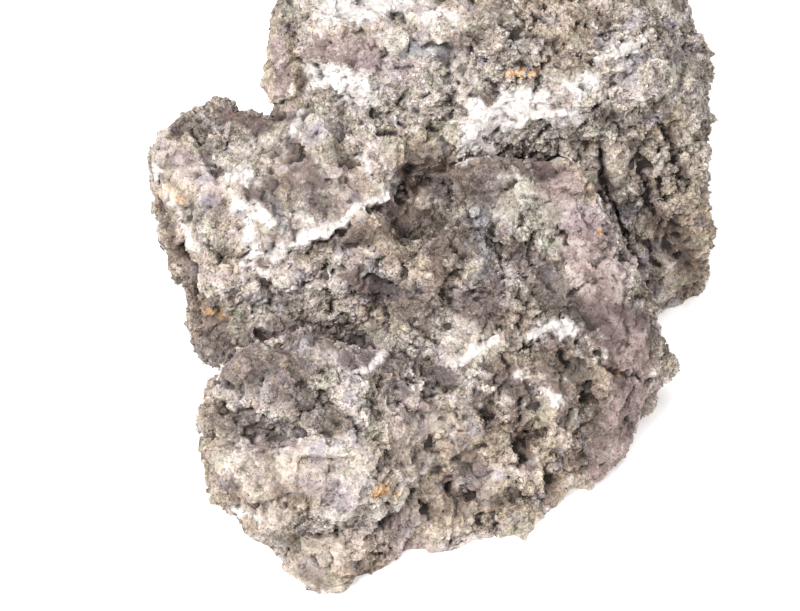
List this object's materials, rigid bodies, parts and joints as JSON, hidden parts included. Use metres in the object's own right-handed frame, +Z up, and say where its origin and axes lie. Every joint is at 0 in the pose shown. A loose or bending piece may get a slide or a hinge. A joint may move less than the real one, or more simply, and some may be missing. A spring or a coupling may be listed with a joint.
{
  "type": "aquascaping rock",
  "caption": "Rough crumbly aquarium stone lying on a flat underside, with a low front knob, a side block, a raised back mass, cavities and pale mineral veins.",
  "frame": {"origin": "middle of the stone's box, on the surface that it rests on", "axes": "+Z up; the broad face leans back and looks towards -Y and up, with the low knob at its front left; +X to the right"},
  "size_m": [0.1782, 0.1984, 0.0959],
  "materials": {
    "stone": "rough, dry and crumbly grey-brown stone with matte white mineral veins, mauve clay skins and pale green and blue-grey crumbs"
  },
  "bodies": {
    "root": {"rock": "stone"}
  },
  "joints": []
}
